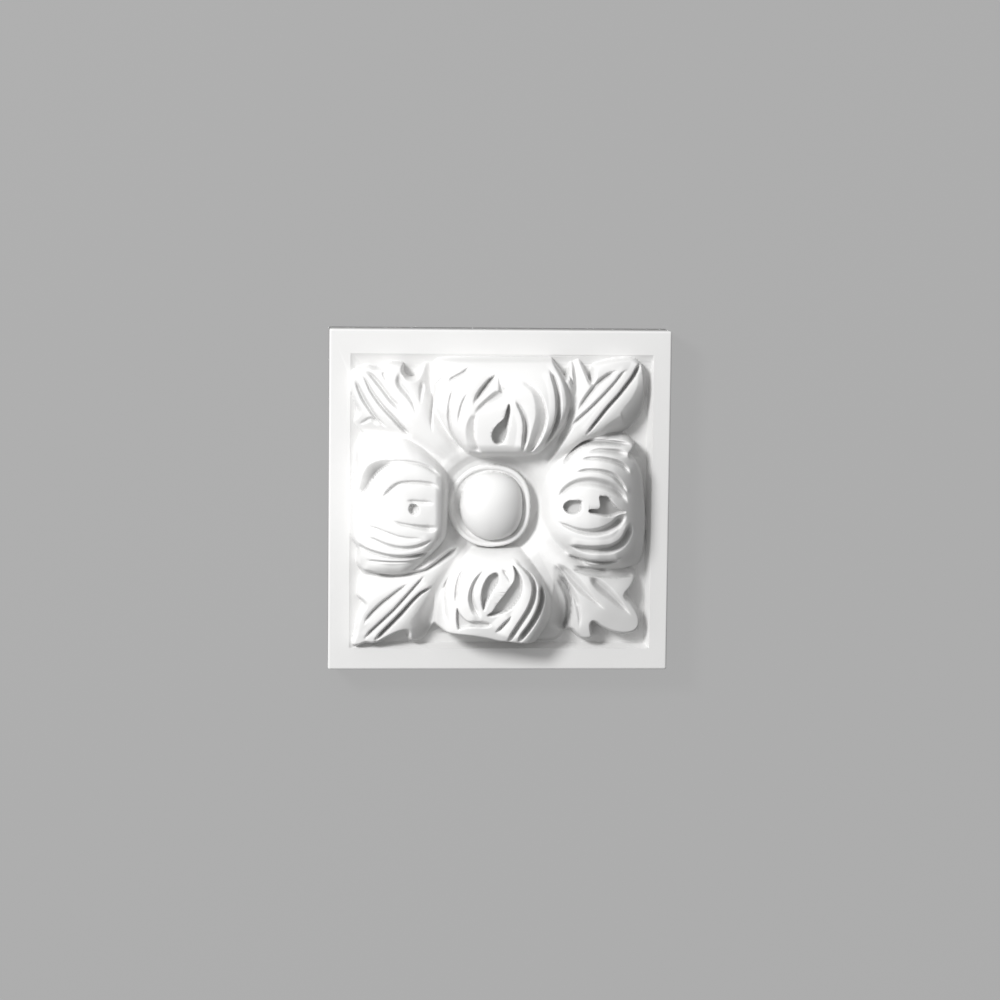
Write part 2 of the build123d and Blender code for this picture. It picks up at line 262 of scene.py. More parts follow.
# Grooves: depth in millimetres, then (x, y, width of the dark side) in photograph pixels
GROOVES = {
    "top_outer_left": (0.8, [
        (448, 371, 1.5), (443.6, 377, 2.2), (436, 383.6, 2.4), (433, 395, 2.6), (431, 409, 2.6),
        (430.7, 422, 2.2), (432, 434, 1),
    ]),
    "top_left_slash": (1.1, [
        (472.5, 365, 1.5), (466, 369.6, 2.4), (460.7, 373.4, 2.8), (455, 376.4, 3), (450.4, 379.3, 3),
        (447, 385.4, 2),
    ]),
    "top_left_long": (1.1, [
        (454, 386, 1.4), (450.4, 396, 2.4), (448.6, 408, 2.8), (448.8, 420, 3), (452, 433, 3.2),
        (459.6, 445, 3.2), (470.8, 454.6, 2),
    ]),
    "top_left_short": (0.9, [
        (468.5, 391.5, 1.2), (464.6, 397.4, 2.2), (461.4, 404.6, 2.4), (459, 414.6, 2.4),
        (457.7, 427, 1),
    ]),
    "top_main": (2.4, [
        (499, 372.4, 1), (494.6, 375.6, 2.2), (489, 380.4, 3.6), (484, 386.4, 4.4), (479, 393, 4.4),
        (475, 400, 3.4), (472.6, 406, 2),
    ]),
    "top_notch": (1.7, [
        (498.7, 374.6, 1), (499.4, 382, 2), (500.6, 388, 4), (501, 392, 6.4), (495.4, 395, 7),
        (488, 400, 5.6), (481.5, 405.6, 4.6), (476.4, 411, 3.6), (473.6, 416, 2.4),
    ]),
    "top_right_rim": (2.2, [
        (513, 398.5, 1), (519, 407, 2.8), (523.4, 417, 3.8), (525, 427, 4.6), (524, 438, 4.6),
        (522.6, 446, 3.4), (521.4, 452.5, 2),
    ]),
    "top_right_dark": (2.0, [
        (548, 367.8, 1.6), (553, 378.4, 3.6), (556.4, 391.6, 4.2), (557.4, 404, 4.4), (556.8, 416, 4.4),
        (553.6, 427, 4.2), (548.6, 437, 4), (541, 449, 3.6),
    ]),
    "top_right_edge": (1.2, [
        (550, 359, 1.6), (558.6, 371.6, 3), (564.8, 383.4, 4.4), (568.6, 396.7, 6), (568.4, 410, 6.6),
        (566, 423, 7), (560, 436, 6.4), (554, 447, 5),
    ]),
    "left_wedge_line": (0.9, [
        (385, 461.6, 1.2), (396, 461, 2.4), (408, 461.8, 2.8), (418, 463.6, 2.8), (427, 467, 2.8),
        (436, 472.6, 2.4), (442, 477, 1.4),
    ]),
    "left_brow": (1.3, [
        (380.6, 499.4, 2), (385, 494.4, 3.2), (389.6, 489.4, 3.4), (394.6, 485.4, 3.2), (401, 482.8, 3),
        (412, 482, 3), (424, 482.8, 3), (433, 484.6, 3), (440, 489, 2.4),
    ]),
    "left_slit": (0.9, [
        (405.5, 500.2, 1.2), (412, 501, 2.8), (424.3, 502, 3), (434.6, 502.8, 2.4),
    ]),
    "left_lid": (1.6, [
        (392, 520.4, 1.2), (401.4, 523.8, 2.4), (411.4, 525.8, 3), (421, 527.2, 4), (430, 527.8, 4.6),
        (438.8, 526.4, 3.4),
    ]),
    "left_low_1": (0.9, [
        (365, 524.8, 1), (375.7, 528.5, 2), (385.7, 532.4, 2.4), (397, 536.4, 2.6), (409, 538.4, 2.4),
        (423, 538.4, 1.6),
    ]),
    "left_low_2": (1.2, [
        (366, 534.6, 1), (374.3, 539.4, 2.4), (384.3, 544, 3.2), (394.3, 546.9, 3.6),
        (404.3, 547.8, 3.6), (414.3, 546.6, 3.4), (424.3, 543, 3), (432, 538.5, 2),
    ]),
    "left_low_3": (1.5, [
        (354, 540, 3), (361.4, 546.6, 3.2), (368.6, 550.2, 3.2), (377, 553.1, 3.6), (387, 555.5, 3.6),
        (397, 556.4, 3.6), (408.6, 556, 3.6), (420, 553.8, 3.4), (430, 549.8, 3),
    ]),
    "left_low_4": (0.7, [
        (364.5, 558.2, 1.4), (372.9, 560.2, 2.4), (385.7, 561.4, 2), (400, 561.4, 2), (414.3, 560.8, 2),
    ]),
    "left_low_5": (1.7, [
        (360, 567, 1.6), (368.6, 570.8, 3), (380, 573.2, 3.4), (391.4, 574.4, 3.6), (402.9, 573.6, 3.6),
        (414.3, 571.6, 3.6), (424.3, 569, 3.8), (432.9, 563.6, 4.2), (441.4, 557, 5), (450, 550.4, 5.6),
        (457, 545, 4),
    ]),
    "right_1": (2.1, [
        (560.3, 467.2, 1), (565, 460.4, 2.2), (570.5, 453.2, 2.4), (577, 446.4, 2.6), (584, 442.3, 3.4),
        (595, 441, 3.8), (606, 441.4, 3.8), (617, 442.6, 3.6), (626, 443.6, 2.4), (633, 444.4, 1.2),
    ]),
    "right_2": (1.5, [
        (584, 453.2, 1.2), (596, 450, 2.6), (606, 450.2, 3.4), (616, 451.4, 4.4), (624, 453, 4),
        (630, 453.6, 2),
    ]),
    "right_3": (1.6, [
        (577, 459.6, 1.2), (588, 457.8, 2.6), (598, 457.8, 3.2), (609, 459.6, 3.6), (618, 462.6, 3.8),
        (625, 467.6, 3.2), (631, 476, 1.2),
    ]),
    "right_4": (1.6, [
        (573.6, 471.8, 1.2), (584, 470, 2.6), (593, 469.9, 2.8), (603, 471.2, 3.2), (613, 475.2, 3.6),
        (621, 483.8, 3), (628, 495, 1.2),
    ]),
    "right_brow": (1.9, [
        (556.4, 499.6, 1.4), (561.4, 492.6, 4), (567, 487.2, 5.4), (575, 483, 6.2), (584, 481.2, 6.6),
        (594, 481.6, 7), (606, 484.8, 7.2), (615, 489.8, 6.6), (622, 496, 4.6), (628, 504, 1.2),
    ]),
    "right_lid": (2.4, [
        (556.4, 521, 1.4), (565, 525.3, 2.8), (577, 529.8, 3.8), (589.7, 531.6, 5), (602.6, 529.4, 6),
        (612.8, 524, 6.6), (619.6, 517.6, 6.4), (626, 513, 4),
    ]),
    "right_low_1": (2.2, [
        (567.5, 543.4, 2), (576, 546.2, 4), (586, 548, 5.6), (598, 548.4, 6.4), (610, 547, 7),
        (619.5, 541.8, 7), (625.8, 533, 6.4), (628.2, 522, 5),
    ]),
    "right_low_2": (1.7, [
        (564, 552.6, 1.2), (577, 557.6, 2.8), (589.7, 560.8, 3.4), (605, 561.8, 3.6), (615, 560.4, 3),
        (622, 557, 2),
    ]),
    "right_low_3": (1.4, [
        (572, 565.4, 1.6), (585, 568.4, 3.6), (598, 569.8, 4.4), (612, 569.6, 4),
    ]),
    "bottom_1": (0.8, [
        (449.3, 574.2, 1.2), (444.6, 585, 2.2), (443.7, 598.9, 2.4), (445, 614.3, 2.4),
        (448.5, 626.6, 1.4),
    ]),
    "bottom_2": (1.3, [
        (468, 565.4, 1.2), (463, 570, 2), (459, 576.4, 2.4), (456, 588.5, 2.6), (455.6, 600, 2.8),
        (457, 608, 3),
    ]),
    "bottom_3": (1.9, [
        (483, 569.4, 1.2), (476.3, 577.5, 2.6), (471.8, 586.5, 3.4), (470, 596, 4.2), (471.8, 605, 5),
        (475.6, 613, 5), (479.6, 619.5, 4.4),
    ]),
    "bottom_4": (1.0, [
        (501.6, 568.6, 1.2), (505, 573, 2.2), (508.6, 578.6, 2.4), (511.6, 584, 1.6),
    ]),
    "bottom_5": (1.9, [
        (511.5, 558, 1.2), (518, 563, 1.6), (524.6, 569.4, 2), (530, 576, 2.8), (533, 584, 3.6),
        (533, 592, 4), (530.8, 601.3, 4.2), (526.3, 611, 4.2), (517.6, 624.4, 4), (510.6, 635, 3.8),
        (506, 642, 3),
    ]),
    "bottom_6": (2.6, [
        (538.4, 582, 1.4), (540.2, 589.6, 3.6), (540.6, 599.4, 4.8), (536.8, 611.5, 4.8),
        (530.4, 623, 4.8), (522.5, 633.6, 4.8), (516, 642, 4),
    ]),
    "bottom_slash": (1.4, [
        (494.4, 632.6, 1.6), (499, 628, 3), (504, 623, 3), (508, 619, 2.2), (512, 615, 1),
    ]),
    "bottom_flank": (1.0, [
        (556, 577, 2), (562, 586, 4), (567.4, 598, 5), (568.6, 611, 5), (566, 624, 5), (563, 634, 4),
    ]),
    "bottom_leaf": (0.8, [
        (562, 580, 2), (569.4, 592, 4), (576, 603, 4), (579, 617, 3), (578.5, 630, 1),
    ]),
    "nw_1": (1.6, [
        (354.2, 377.5, 1.2), (357.6, 387, 3), (363, 398.6, 4), (368.9, 408, 3.8), (375.4, 417.2, 3.2),
        (381, 422.4, 2.2), (388, 429.2, 1.2),
    ]),
    "nw_2": (1.7, [
        (361.8, 373, 1), (366.2, 381.4, 2), (371, 391, 3), (377.8, 401, 3.4), (384.4, 409, 3.4),
        (392, 417, 3.6), (400, 425.8, 3.8), (406.7, 432.2, 3.4), (412.6, 438.4, 1.4),
    ]),
    "nw_3": (1.5, [
        (363.6, 370.8, 1.4), (370, 374.2, 2.8), (376.7, 381.6, 3.8), (383.3, 390, 4), (390, 398.9, 4),
        (396.7, 405.8, 3.8), (403.6, 414.2, 1.4),
    ]),
    "nw_small": (0.6, [
        (381.6, 370.6, 1), (384.4, 376.7, 2.6), (387.2, 383, 1),
    ]),
    "nw_notch": (1.5, [
        (400.5, 370, 3), (398.4, 376, 4.6), (398.8, 382.5, 5.6), (402.5, 388.5, 5.6), (407, 394, 5),
        (411.5, 401, 4), (414.6, 409, 2.6), (416, 416, 1.2),
    ]),
    "nw_gap": (0.8, [
        (421.5, 380, 3), (420.5, 388, 4), (420, 396, 3), (420, 405, 1.4),
    ]),
    "nw_leaflet": (0.9, [
        (357.5, 424.6, 1.2), (363.3, 421.2, 3), (369.6, 418.2, 3), (374.6, 421, 4), (377.5, 427, 3),
    ]),
    "ne_1": (1.9, [
        (577.6, 413, 1.4), (580.8, 404.8, 3), (586.4, 396, 3.8), (594.4, 385.6, 4), (600, 380, 3.8),
        (607.5, 374.6, 3.4), (613, 372, 2.6), (619.4, 370.4, 1.4),
    ]),
    "ne_2": (1.5, [
        (569, 426.6, 2.4), (577, 419.2, 3.2), (589.7, 407.8, 3), (602.6, 394.9, 2.8), (614, 382.4, 2.4),
        (621.8, 372.8, 2.2), (628, 368.6, 1.4),
    ]),
    "ne_3": (2.6, [
        (584.4, 434.8, 2.4), (596, 420.6, 2.8), (606.2, 407.8, 3), (617.7, 395, 3), (626.6, 383.6, 3.2),
        (633, 374.6, 3.4), (637, 366.7, 3.2), (639.6, 360.6, 2),
    ]),
    "ne_gap": (0.8, [
        (567, 367, 1.6), (570.5, 377, 2), (572.6, 388, 2),
    ]),
    "sw_1": (1.8, [
        (363, 625.6, 1.2), (367, 617.6, 2.6), (373, 610.6, 3), (381, 603, 3.2), (389, 596.8, 3),
        (397, 590.6, 2.6), (404, 586, 2), (409.4, 583, 1),
    ]),
    "sw_2": (1.8, [
        (363, 639.6, 2.4), (368, 633, 2.6), (376, 625.4, 2.6), (384, 618, 2.6), (392.6, 610, 2.6),
        (400, 602, 2.6), (409, 592, 2.4), (417, 583, 2.2), (424.6, 574.6, 2),
    ]),
    "sw_3": (2.5, [
        (373, 641, 3), (379, 634.6, 3.2), (386, 627.6, 3.4), (393, 620.6, 3.4), (400, 613.4, 3.4),
        (407, 605.6, 3.2), (413.6, 598.4, 3), (420, 592.6, 2.8), (427, 588.4, 2.4), (433, 584.4, 1.6),
    ]),
    "se_1": (1.7, [
        (588, 575, 2), (593, 579.6, 5), (599, 585, 7), (606, 591, 7.4), (613, 597.6, 6.4),
        (619.6, 604, 4.8), (625.6, 610, 2.6), (631.6, 616.4, 0.8),
    ]),
    "se_2": (1.7, [
        (556, 562.6, 2), (563, 569.4, 5), (569, 575.6, 7), (575.6, 582.6, 7.4), (582.6, 589.8, 6.8),
        (589.6, 596.4, 4.8), (597, 603, 2.6), (606, 610, 0.8),
    ]),
    "se_3": (1.3, [
        (557, 574, 2), (563, 580, 4), (568.6, 587.6, 5), (573, 596, 5), (577, 605, 4), (580, 613, 2),
    ]),
}

# Folds: depth in millimetres, then the foot in photograph pixels, with the width of the slope to it
FOLDS = {
    "top_gutter": (2.3, [
        (521.5, 381.5, 2), (533.8, 387.4, 5), (541.5, 397.7, 8), (545.8, 411.5, 10.5),
        (545.4, 423.8, 11.5), (540.6, 437.7, 11), (533.8, 448.5, 9), (527, 453, 6),
    ]),
    "top_low": (2.0, [
        (475.6, 413, 3), (474.6, 420, 6), (474, 428, 8), (474.8, 439, 8.6), (478, 448.5, 9),
        (481, 453.5, 7),
    ]),
    "top_ne_valley": (1.6, [
        (576, 420, 4), (570, 430, 9), (562, 442, 14), (554, 454, 16), (546, 464, 12),
    ]),
    "left_wedge": (4.2, [
        (395.8, 461.9, 1.5), (386, 466, 7), (377.4, 472.4, 10.5), (371.8, 479.5, 10), (367.6, 486.5, 8),
        (362.6, 492.2, 5), (358.4, 495, 2),
    ]),
    "ne_flank": (2.3, [
        (642, 368, 4.6), (647, 384, 11), (648, 400, 20), (645, 413, 24), (638, 424, 24), (628, 432, 23),
        (615, 436.6, 18), (603, 439, 12),
    ]),
    "se_gully": (1.6, [
        (572, 569.6, 3), (584, 573.4, 5), (597, 576, 6), (610, 577, 7), (622, 576.6, 7), (634, 575, 5),
    ]),
    "bottom_side": (2.9, [
        (553, 564, 3), (561, 572, 9), (567, 582, 14), (570.6, 594, 18), (571.6, 606, 20),
        (569.6, 619, 20), (562.6, 632, 16),
    ]),
    "sw_facet": (1.1, [
        (434.4, 586, 2), (434, 593, 6), (433.6, 603, 12), (433, 612, 17), (431, 622, 21),
        (426.6, 632, 19), (419, 640.6, 11),
    ]),
}

# Lips: rise of the strand's edge over a groove in millimetres, and its width in photograph pixels
LIPS = {
    "left_low_2": (0.5, 8), "left_low_3": (0.8, 8), "left_low_4": (0.6, 6), "left_low_5": (1.4, 11),
    "right_3": (0.6, 7), "right_4": (0.6, 7), "right_low_1": (0.9, 9), "right_low_2": (0.9, 9),
    "bottom_3": (0.8, 8), "bottom_5": (1.3, 12), "bottom_6": (1.0, 6), "bottom_slash": (1.0, 9),
    "top_right_dark": (0.8, 9), "top_right_edge": (0.8, 8), "top_right_rim": (0.7, 8),
    "ne_2": (0.4, 6), "ne_3": (0.6, 7), "sw_2": (0.4, 6), "sw_3": (0.6, 7),
}

# Eyes, and the flat foot between strands: depth in millimetres, then the closed edge in photograph pixels
EYES = {
    "bottom_foot": (1.9, [
        (457, 608), (461, 614.6), (468, 621), (477, 621), (488.6, 622.4), (490.6, 625.8), (484, 627.6),
        (470, 627), (462, 628.6), (458, 629.6), (456.2, 620),
    ]),
    "top_eye": (3.6, [
        (508.6, 404.5), (506.2, 411), (503.6, 418.8), (497.4, 424.5), (493.2, 430.5), (491.8, 436.5),
        (493.6, 442), (498, 444.6), (503.2, 442.6), (506.8, 435), (509, 423), (510.8, 413.6),
        (510.4, 406.2),
    ]),
    "left_eye": (2.2, [
        (410.4, 504.6), (408.7, 509.2), (410.3, 513.2), (414, 514.8), (417.5, 513.2), (419.2, 509.4),
        (417.6, 505.4), (414, 503.9),
    ]),
    "right_eye": (3.2, [
        (563.4, 508), (564.6, 503.6), (568.6, 500.8), (574, 500.2), (581.4, 500.6), (582.2, 504.6),
        (581.8, 510), (578.8, 513.6), (573, 514.6), (567, 512.8),
    ]),
    "right_eye_outer": (3.2, [
        (599.4, 496.8), (604, 496.2), (608.3, 497), (613.3, 503.3), (619, 508.3), (625.6, 511.8),
        (620, 513.8), (613.3, 516.2), (606.7, 516.9), (598, 515.2), (590, 513), (589.6, 509.4),
        (600, 508),
    ]),
    "bottom_eye_left": (3.0, [
        (496, 572.6), (499.4, 576.6), (498.2, 583.3), (492.5, 592.3), (487.4, 602.6), (484, 610.8),
        (481.8, 605), (481.2, 596), (483.1, 586), (488.3, 576.6),
    ]),
    "bottom_eye_right": (3.0, [
        (512.8, 565), (517, 569.6), (521.6, 578), (523, 586), (521.6, 595), (516.7, 603.8),
        (507.7, 611.5), (492.3, 616.4), (487.2, 615.4), (492.3, 611.8), (497.4, 603.8), (506.2, 592.3),
        (513.8, 581.4), (514.6, 573),
    ]),
}


def camera_frame():
    """Camera's place in millimetres, with its right, up and backward directions."""
    az, el, roll = radians(CAMERA_AZIMUTH), radians(CAMERA_TILT), radians(CAMERA_ROLL)
    away = np.array([-sin(az), sin(el) * cos(az), cos(el) * cos(az)])
    side = np.cross([0.0, 1.0, 0.0], away)
    side /= np.linalg.norm(side)
    above = np.cross(away, side)
    right = cos(roll) * side + sin(roll) * above
    up = cos(roll) * above - sin(roll) * side
    return np.array([*CAMERA_TARGET, 0.0]) + CAMERA_DISTANCE * away, right, up, away


def at_level(pixels, level):
    """Plan position of photograph points that lie at a level above the back."""
    place, right, up, away = camera_frame()
    focal = CAMERA_LENS / SENSOR_WIDTH * PHOTO_WIDTH
    across, down = (np.asarray(pixels, float) - PHOTO_WIDTH / 2).T / focal
    ray = -away + across[:, None] * right - down[:, None] * up
    reach = (level - place[2]) / ray[:, 2]
    return place[:2] + reach[:, None] * ray[:, :2]


def on_base(pixels):
    """Plan position of photograph points that lie on the base form."""
    plan = at_level(pixels, FACE + FIRST_RISE)
    for _ in range(LAYING_ROUNDS):
        plan = at_level(pixels, base(*plan.T) - MEAN_DEPTH)
    return plan


def smooth(points, x):
    """Smooth curve through points without overshoot, held level beyond its ends."""
    px, py = np.array(points, float).T
    slope = np.diff(py) / np.diff(px)
    before, after = slope[:-1], slope[1:]
    same = before * after > 0
    m = np.zeros_like(px)
    m[1:-1][same] = 2 * before[same] * after[same] / (before[same] + after[same])
    m[0], m[-1] = slope[0], slope[-1]
    x = np.clip(x, px[0], px[-1])
    k = np.clip(np.searchsorted(px, x) - 1, 0, len(px) - 2)
    h = px[k + 1] - px[k]
    t = (x - px[k]) / h
    rise = py[k] * (1 + 2 * t) * (1 - t) ** 2 + py[k + 1] * t * t * (3 - 2 * t)
    return rise + m[k] * h * t * (1 - t) ** 2 + m[k + 1] * h * t * t * (t - 1)


def smooth_max(a, b, k):
    """The greater of two heights, blended where they differ by less than k."""
    share = np.clip(0.5 + 0.5 * (a - b) / k, 0, 1)
    return b + (a - b) * share + k * share * (1 - share)


def smooth_step(t):
    """Rise from 0 to 1 with level ends."""
    t = np.clip(t, 0, 1)
    return t * t * (3 - 2 * t)


def curve(points, closed=False, steps=CURVE_STEPS):
    """Catmull-Rom curve through points, with every column carried along."""
    p = np.array(points, float)
    p = np.vstack([p[-1:], p, p[:2]]) if closed else np.vstack([2 * p[0] - p[1], p, 2 * p[-1] - p[-2]])
    t = (np.arange(steps) / steps)[:, None]
    spans = [
        b + (c - a) * t / 2 + (2 * a - 5 * b + 4 * c - d) * t**2 / 2 + (3 * b - a - 3 * c + d) * t**3 / 2
        for a, b, c, d in zip(p, p[1:], p[2:], p[3:])
    ]
    return np.vstack(spans if closed else spans + [p[-2:-1]])


def arched(along, across, crest, half_width, square, bend):
    """Rise of a lobe or leaf: a crest along its length, arched across its width.

    A higher square flattens the arch's top, and a lower bend makes its sides steeper.
    """
    arch = np.clip(1 - np.abs(across / smooth(half_width, along)) ** square, 0, None) ** bend
    rise = LOBE_FOOT + (smooth(crest, along) - LOBE_FOOT) * arch
    return np.where((along > crest[0][0]) & (arch > 0), rise, FAR_BELOW)


def turned(x, y, turn):
    """Distances along and across the direction that is turned clockwise from up."""
    return x * sin(turn) + y * cos(turn), x * cos(turn) - y * sin(turn)


def lobe(quarter, along, across):
    """Rise of one lobe, with its own inner wall, outer fall and sides."""
    along = along - LOBE_SETBACKS[quarter] * smooth_step((LOBE_SUMMIT - along) / SETBACK_REACH)
    along = along - LOBE_STRETCHES[quarter] * np.clip(along - LOBE_SUMMIT, 0, None)
    first_side = across < 0
    across = across / np.where(first_side, *LOBE_REACHES[quarter])
    outer = np.clip((along - TAPER_START) / TAPER_REACH, 0, 1) ** 2
    across = across * (1 + LOBE_TAPERS[quarter] * outer * first_side)
    square = np.where(first_side, *LOBE_SQUARES[quarter])
    return arched(along, across, LOBE_CRESTS[quarter], LOBE_WIDTH, square, LOBE_BEND)


def base(X, Y):
    """Base form before any groove: moat and shoulder, four lobes and four leaves."""
    x, y = X - CENTRE[0], Y - CENTRE[1]
    r = np.hypot(x, y)
    tilt = MOAT_TILT * (x * LIGHT_X - y * LIGHT_Y) * smooth_step((MOAT_TILT_END - r) / MOAT_TILT_FADE)
    z = smooth(MOAT, r) - tilt
    x, y = X - LOBE_CENTRE[0], Y - LOBE_CENTRE[1]
    for quarter in range(4):
        turn = quarter * pi / 2
        z = smooth_max(z, lobe(quarter, *turned(x, y, turn)), BLEND)
        along, across = turned(x, y, turn + pi / 4)
        z = smooth_max(z, arched(along, across, LEAF_CREST, LEAF_WIDTH, LEAF_SQUARE, LEAF_BEND), BLEND)
    return FACE + z


def inside_distance(X, Y, loop):
    """Distance to a closed loop, positive inside it."""
    nearest = np.full(X.shape, ENDLESS)
    odd = np.zeros(X.shape, bool)
    for (x0, y0), (x1, y1) in zip(loop, np.roll(loop, -1, axis=0)):
        dx, dy = x1 - x0, y1 - y0
        t = np.clip(((X - x0) * dx + (Y - y0) * dy) / (dx * dx + dy * dy + TINY), 0, 1)
        nearest = np.minimum(nearest, (X - x0 - t * dx) ** 2 + (Y - y0 - t * dy) ** 2)
        if y0 != y1:
            odd ^= ((y0 > Y) != (y1 > Y)) & (X < dx * (Y - y0) / dy + x0)
    return np.where(odd, np.sqrt(nearest), -np.sqrt(nearest))


def window(X, Y, points, margin):
    """Part of the grid that lies within a margin of points."""
    low = np.min(points, axis=0) - margin
    high = np.max(points, axis=0) + margin
    return np.ix_((Y[:, 0] > low[1]) & (Y[:, 0] < high[1]), (X[0] > low[0]) & (X[0] < high[0]))


def way_along(plan):
    """Length of a line from its start to each of its points."""
    return np.concatenate([[0.0], np.cumsum(np.linalg.norm(np.diff(plan, axis=0), axis=1))])


def faded_ends(way, reach):
    """Share that rises from 0 at both ends of a line to 1 within a reach."""
    return smooth_step(way / reach) * smooth_step((way[-1] - way) / reach)


def nearest_on(x, y, line):
    """Distance and side of grid points from a line, and the line's further columns where it is nearest."""
    distance = np.full(x.shape, ENDLESS)
    side = np.zeros(x.shape)
    columns = np.zeros((line.shape[1] - 2, *x.shape))
    for (x0, y0, *start), (x1, y1, *end) in zip(line, line[1:]):
        dx, dy = x1 - x0, y1 - y0
        t = np.clip(((x - x0) * dx + (y - y0) * dy) / (dx * dx + dy * dy + TINY), 0, 1)
        d = np.hypot(x - x0 - t * dx, y - y0 - t * dy)
        nearer = d < distance
        distance[nearer] = d[nearer]
        side[nearer] = np.sign(dx * (y - y0) - dy * (x - x0))[nearer]
        for column, first, last in zip(columns, start, end):
            column[nearer] = first + t[nearer] * (last - first)
    return distance, side, columns


def groove_line(pixels):
    """Middle line of a groove on the base form, with its half width and share of the depth.

    The drawn line is the dark side, which looks away from the lamp, so the middle lies beyond it.
    """
    drawn = curve(pixels)
    run = np.gradient(drawn[:, :2], axis=0)
    run /= np.linalg.norm(run, axis=1, keepdims=True)
    beyond = np.stack([-run[:, 1], run[:, 0]], -1)
    facing = beyond @ [LIGHT_X, LIGHT_Y]
    middle = drawn[:, :2] + beyond * (facing * DARK_SHIFT * drawn[:, 2])[:, None]
    plan = on_base(middle)
    width = np.maximum(drawn[:, 2], LEAST_DARK) * DARK_WIDTH / PIXELS_PER_MM
    way = way_along(plan)
    taper = faded_ends(way, min(END_TAPER, END_SHARE * way[-1]))
    return np.column_stack([plan, width, taper * (width / width.max()) ** THIN_POWER])


def cut_groove(X, Y, slots, shoulders, pixels, depth):
    """Adds one groove: a rounded slot, and the broad shoulders that round the strands beside it."""
    line = groove_line(pixels)
    near = window(X, Y, line[:, :2], SHOULDER_SPAN * line[:, 2].max() + MARGIN)
    distance, _, (width, share) = nearest_on(X[near], Y[near], line)
    share = depth * share
    slots[near] = np.maximum(slots[near], SLOT_SHARE * share * smooth_step(1 - distance / width))
    spread = np.exp(-((distance / (SHOULDER_REACH * width + SHOULDER_WIDTH)) ** 2))
    shoulders[near] += (SHOULDER_SHARE * share * spread) ** 2


def cut_fold(X, Y, folds, pixels, depth):
    """Adds one fold: a slope that falls away from the lamp to its foot, and a short wall beyond it."""
    foot = curve(pixels)
    plan = on_base(foot[:, :2])
    widths = foot[:, 2] / PIXELS_PER_MM
    run = np.gradient(plan, axis=0)
    lamp_side = np.sign(np.sum(run[:, 1] * LIGHT_X + run[:, 0] * LIGHT_Y))
    taper = faded_ends(way_along(plan), FOLD_TAPER) * widths / widths.max()
    near = window(X, Y, plan, widths.max() + MARGIN)
    line = np.column_stack([plan, widths, taper])
    distance, side, (width, share) = nearest_on(X[near], Y[near], line)
    before = lamp_side * side * distance
    slope = np.where(before > 0, np.clip(1 - before / width, 0, 1), smooth_step(1 + before / FOLD_WALL))
    folds[near] = np.maximum(folds[near], depth * share * slope)


def lips(X, Y):
    """Rise of the strands towards the crisp edges that stand over the lipped grooves."""
    raised = np.zeros(X.shape)
    for name, (rise, width) in LIPS.items():
        cut_fold(X, Y, raised, [(x, y, width) for x, y, _ in GROOVES[name][1]], rise)
    return raised


def cuts(X, Y):
    """Depth of all cuts below the base form: grooves, deeper where the form is steep, and folds."""
    slots = np.zeros(X.shape)
    shoulders = np.zeros(X.shape)
    folds = np.zeros(X.shape)
    for depth, pixels in GROOVES.values():
        cut_groove(X, Y, slots, shoulders, pixels, depth)
    for depth, pixels in FOLDS.values():
        cut_fold(X, Y, folds, pixels, depth)
    rise, run = np.gradient(base(X, Y), Y[:, 0], X[0])
    steep = np.clip(np.sqrt(1 + rise**2 + run**2), 1, STEEPEST)
    return (slots + np.sqrt(shoulders)) * steep + folds


def eyes(X, Y):
    """Depth of the eyes: flat floors in steep walls."""
    depth = np.zeros(X.shape)
    for deep, pixels in EYES.values():
        loop = on_base(curve(pixels, closed=True, steps=EYE_STEPS))
        near = window(X, Y, loop, MARGIN)
        inside = inside_distance(X[near], Y[near], loop)
        depth[near] += deep * smooth_step((inside + RIM_OVERLAP) / EYE_WALL)
    return depth


def squared_radius(x, y):
    """Distance from the centre, counted along a circle at the left and a rounded square at the right."""
    power = np.where(x > 0, RING_SQUARE, 2)
    return (np.abs(x) ** power + np.abs(y) ** power) ** (1 / power)


def button_and_ring(X, Y):
    """Level of the ring, the seat inside it and the button; nothing stands elsewhere."""
    x, y = X - CENTRE[0] - RING_SHIFT, Y - CENTRE[1]
    away = x * LIGHT_X - y * LIGHT_Y
    r = squared_radius(x, y)
    crest = RING_RISE + RING_TILT * away
    arch = np.clip(1 - ((r - RING_RADIUS) / RING_HALF_WIDTH) ** 2, 0, 1)
    ring = np.where(arch > 0, crest - RING_HALF_WIDTH * (1 - arch**0.5), -FACE)
    seat = np.where(r < RING_RADIUS, crest - SEAT_DROP - SEAT_SLOPE * (RING_RADIUS - r), -FACE)
    x = X - CENTRE[0] - BUTTON_SHIFT
    dome = np.clip(1 - squared_radius(x / BUTTON_HALF_WIDTH, y / BUTTON_HALF_LENGTH) ** 2, 0, 1)
    button = np.where(dome > 0, BUTTON_FOOT_RISE + BUTTON_DOME * dome**0.5, -FACE)
    return FACE + np.maximum(np.maximum(ring, seat), button)


def plinth_height(X, Y):
    """Level of the border and of the field in its opening, which deepens slowly at the left and top."""
    slow = np.minimum(smooth(SLOW_DROP, X - OPENING_LEFT), smooth(SLOW_DROP, OPENING_TOP - Y))
    inset = np.minimum(OPENING_RIGHT - X, Y - OPENING_BOTTOM)
    return FACE - np.minimum(slow, np.clip(inset / BEVEL, 0, 1) * (FACE - FLOOR))


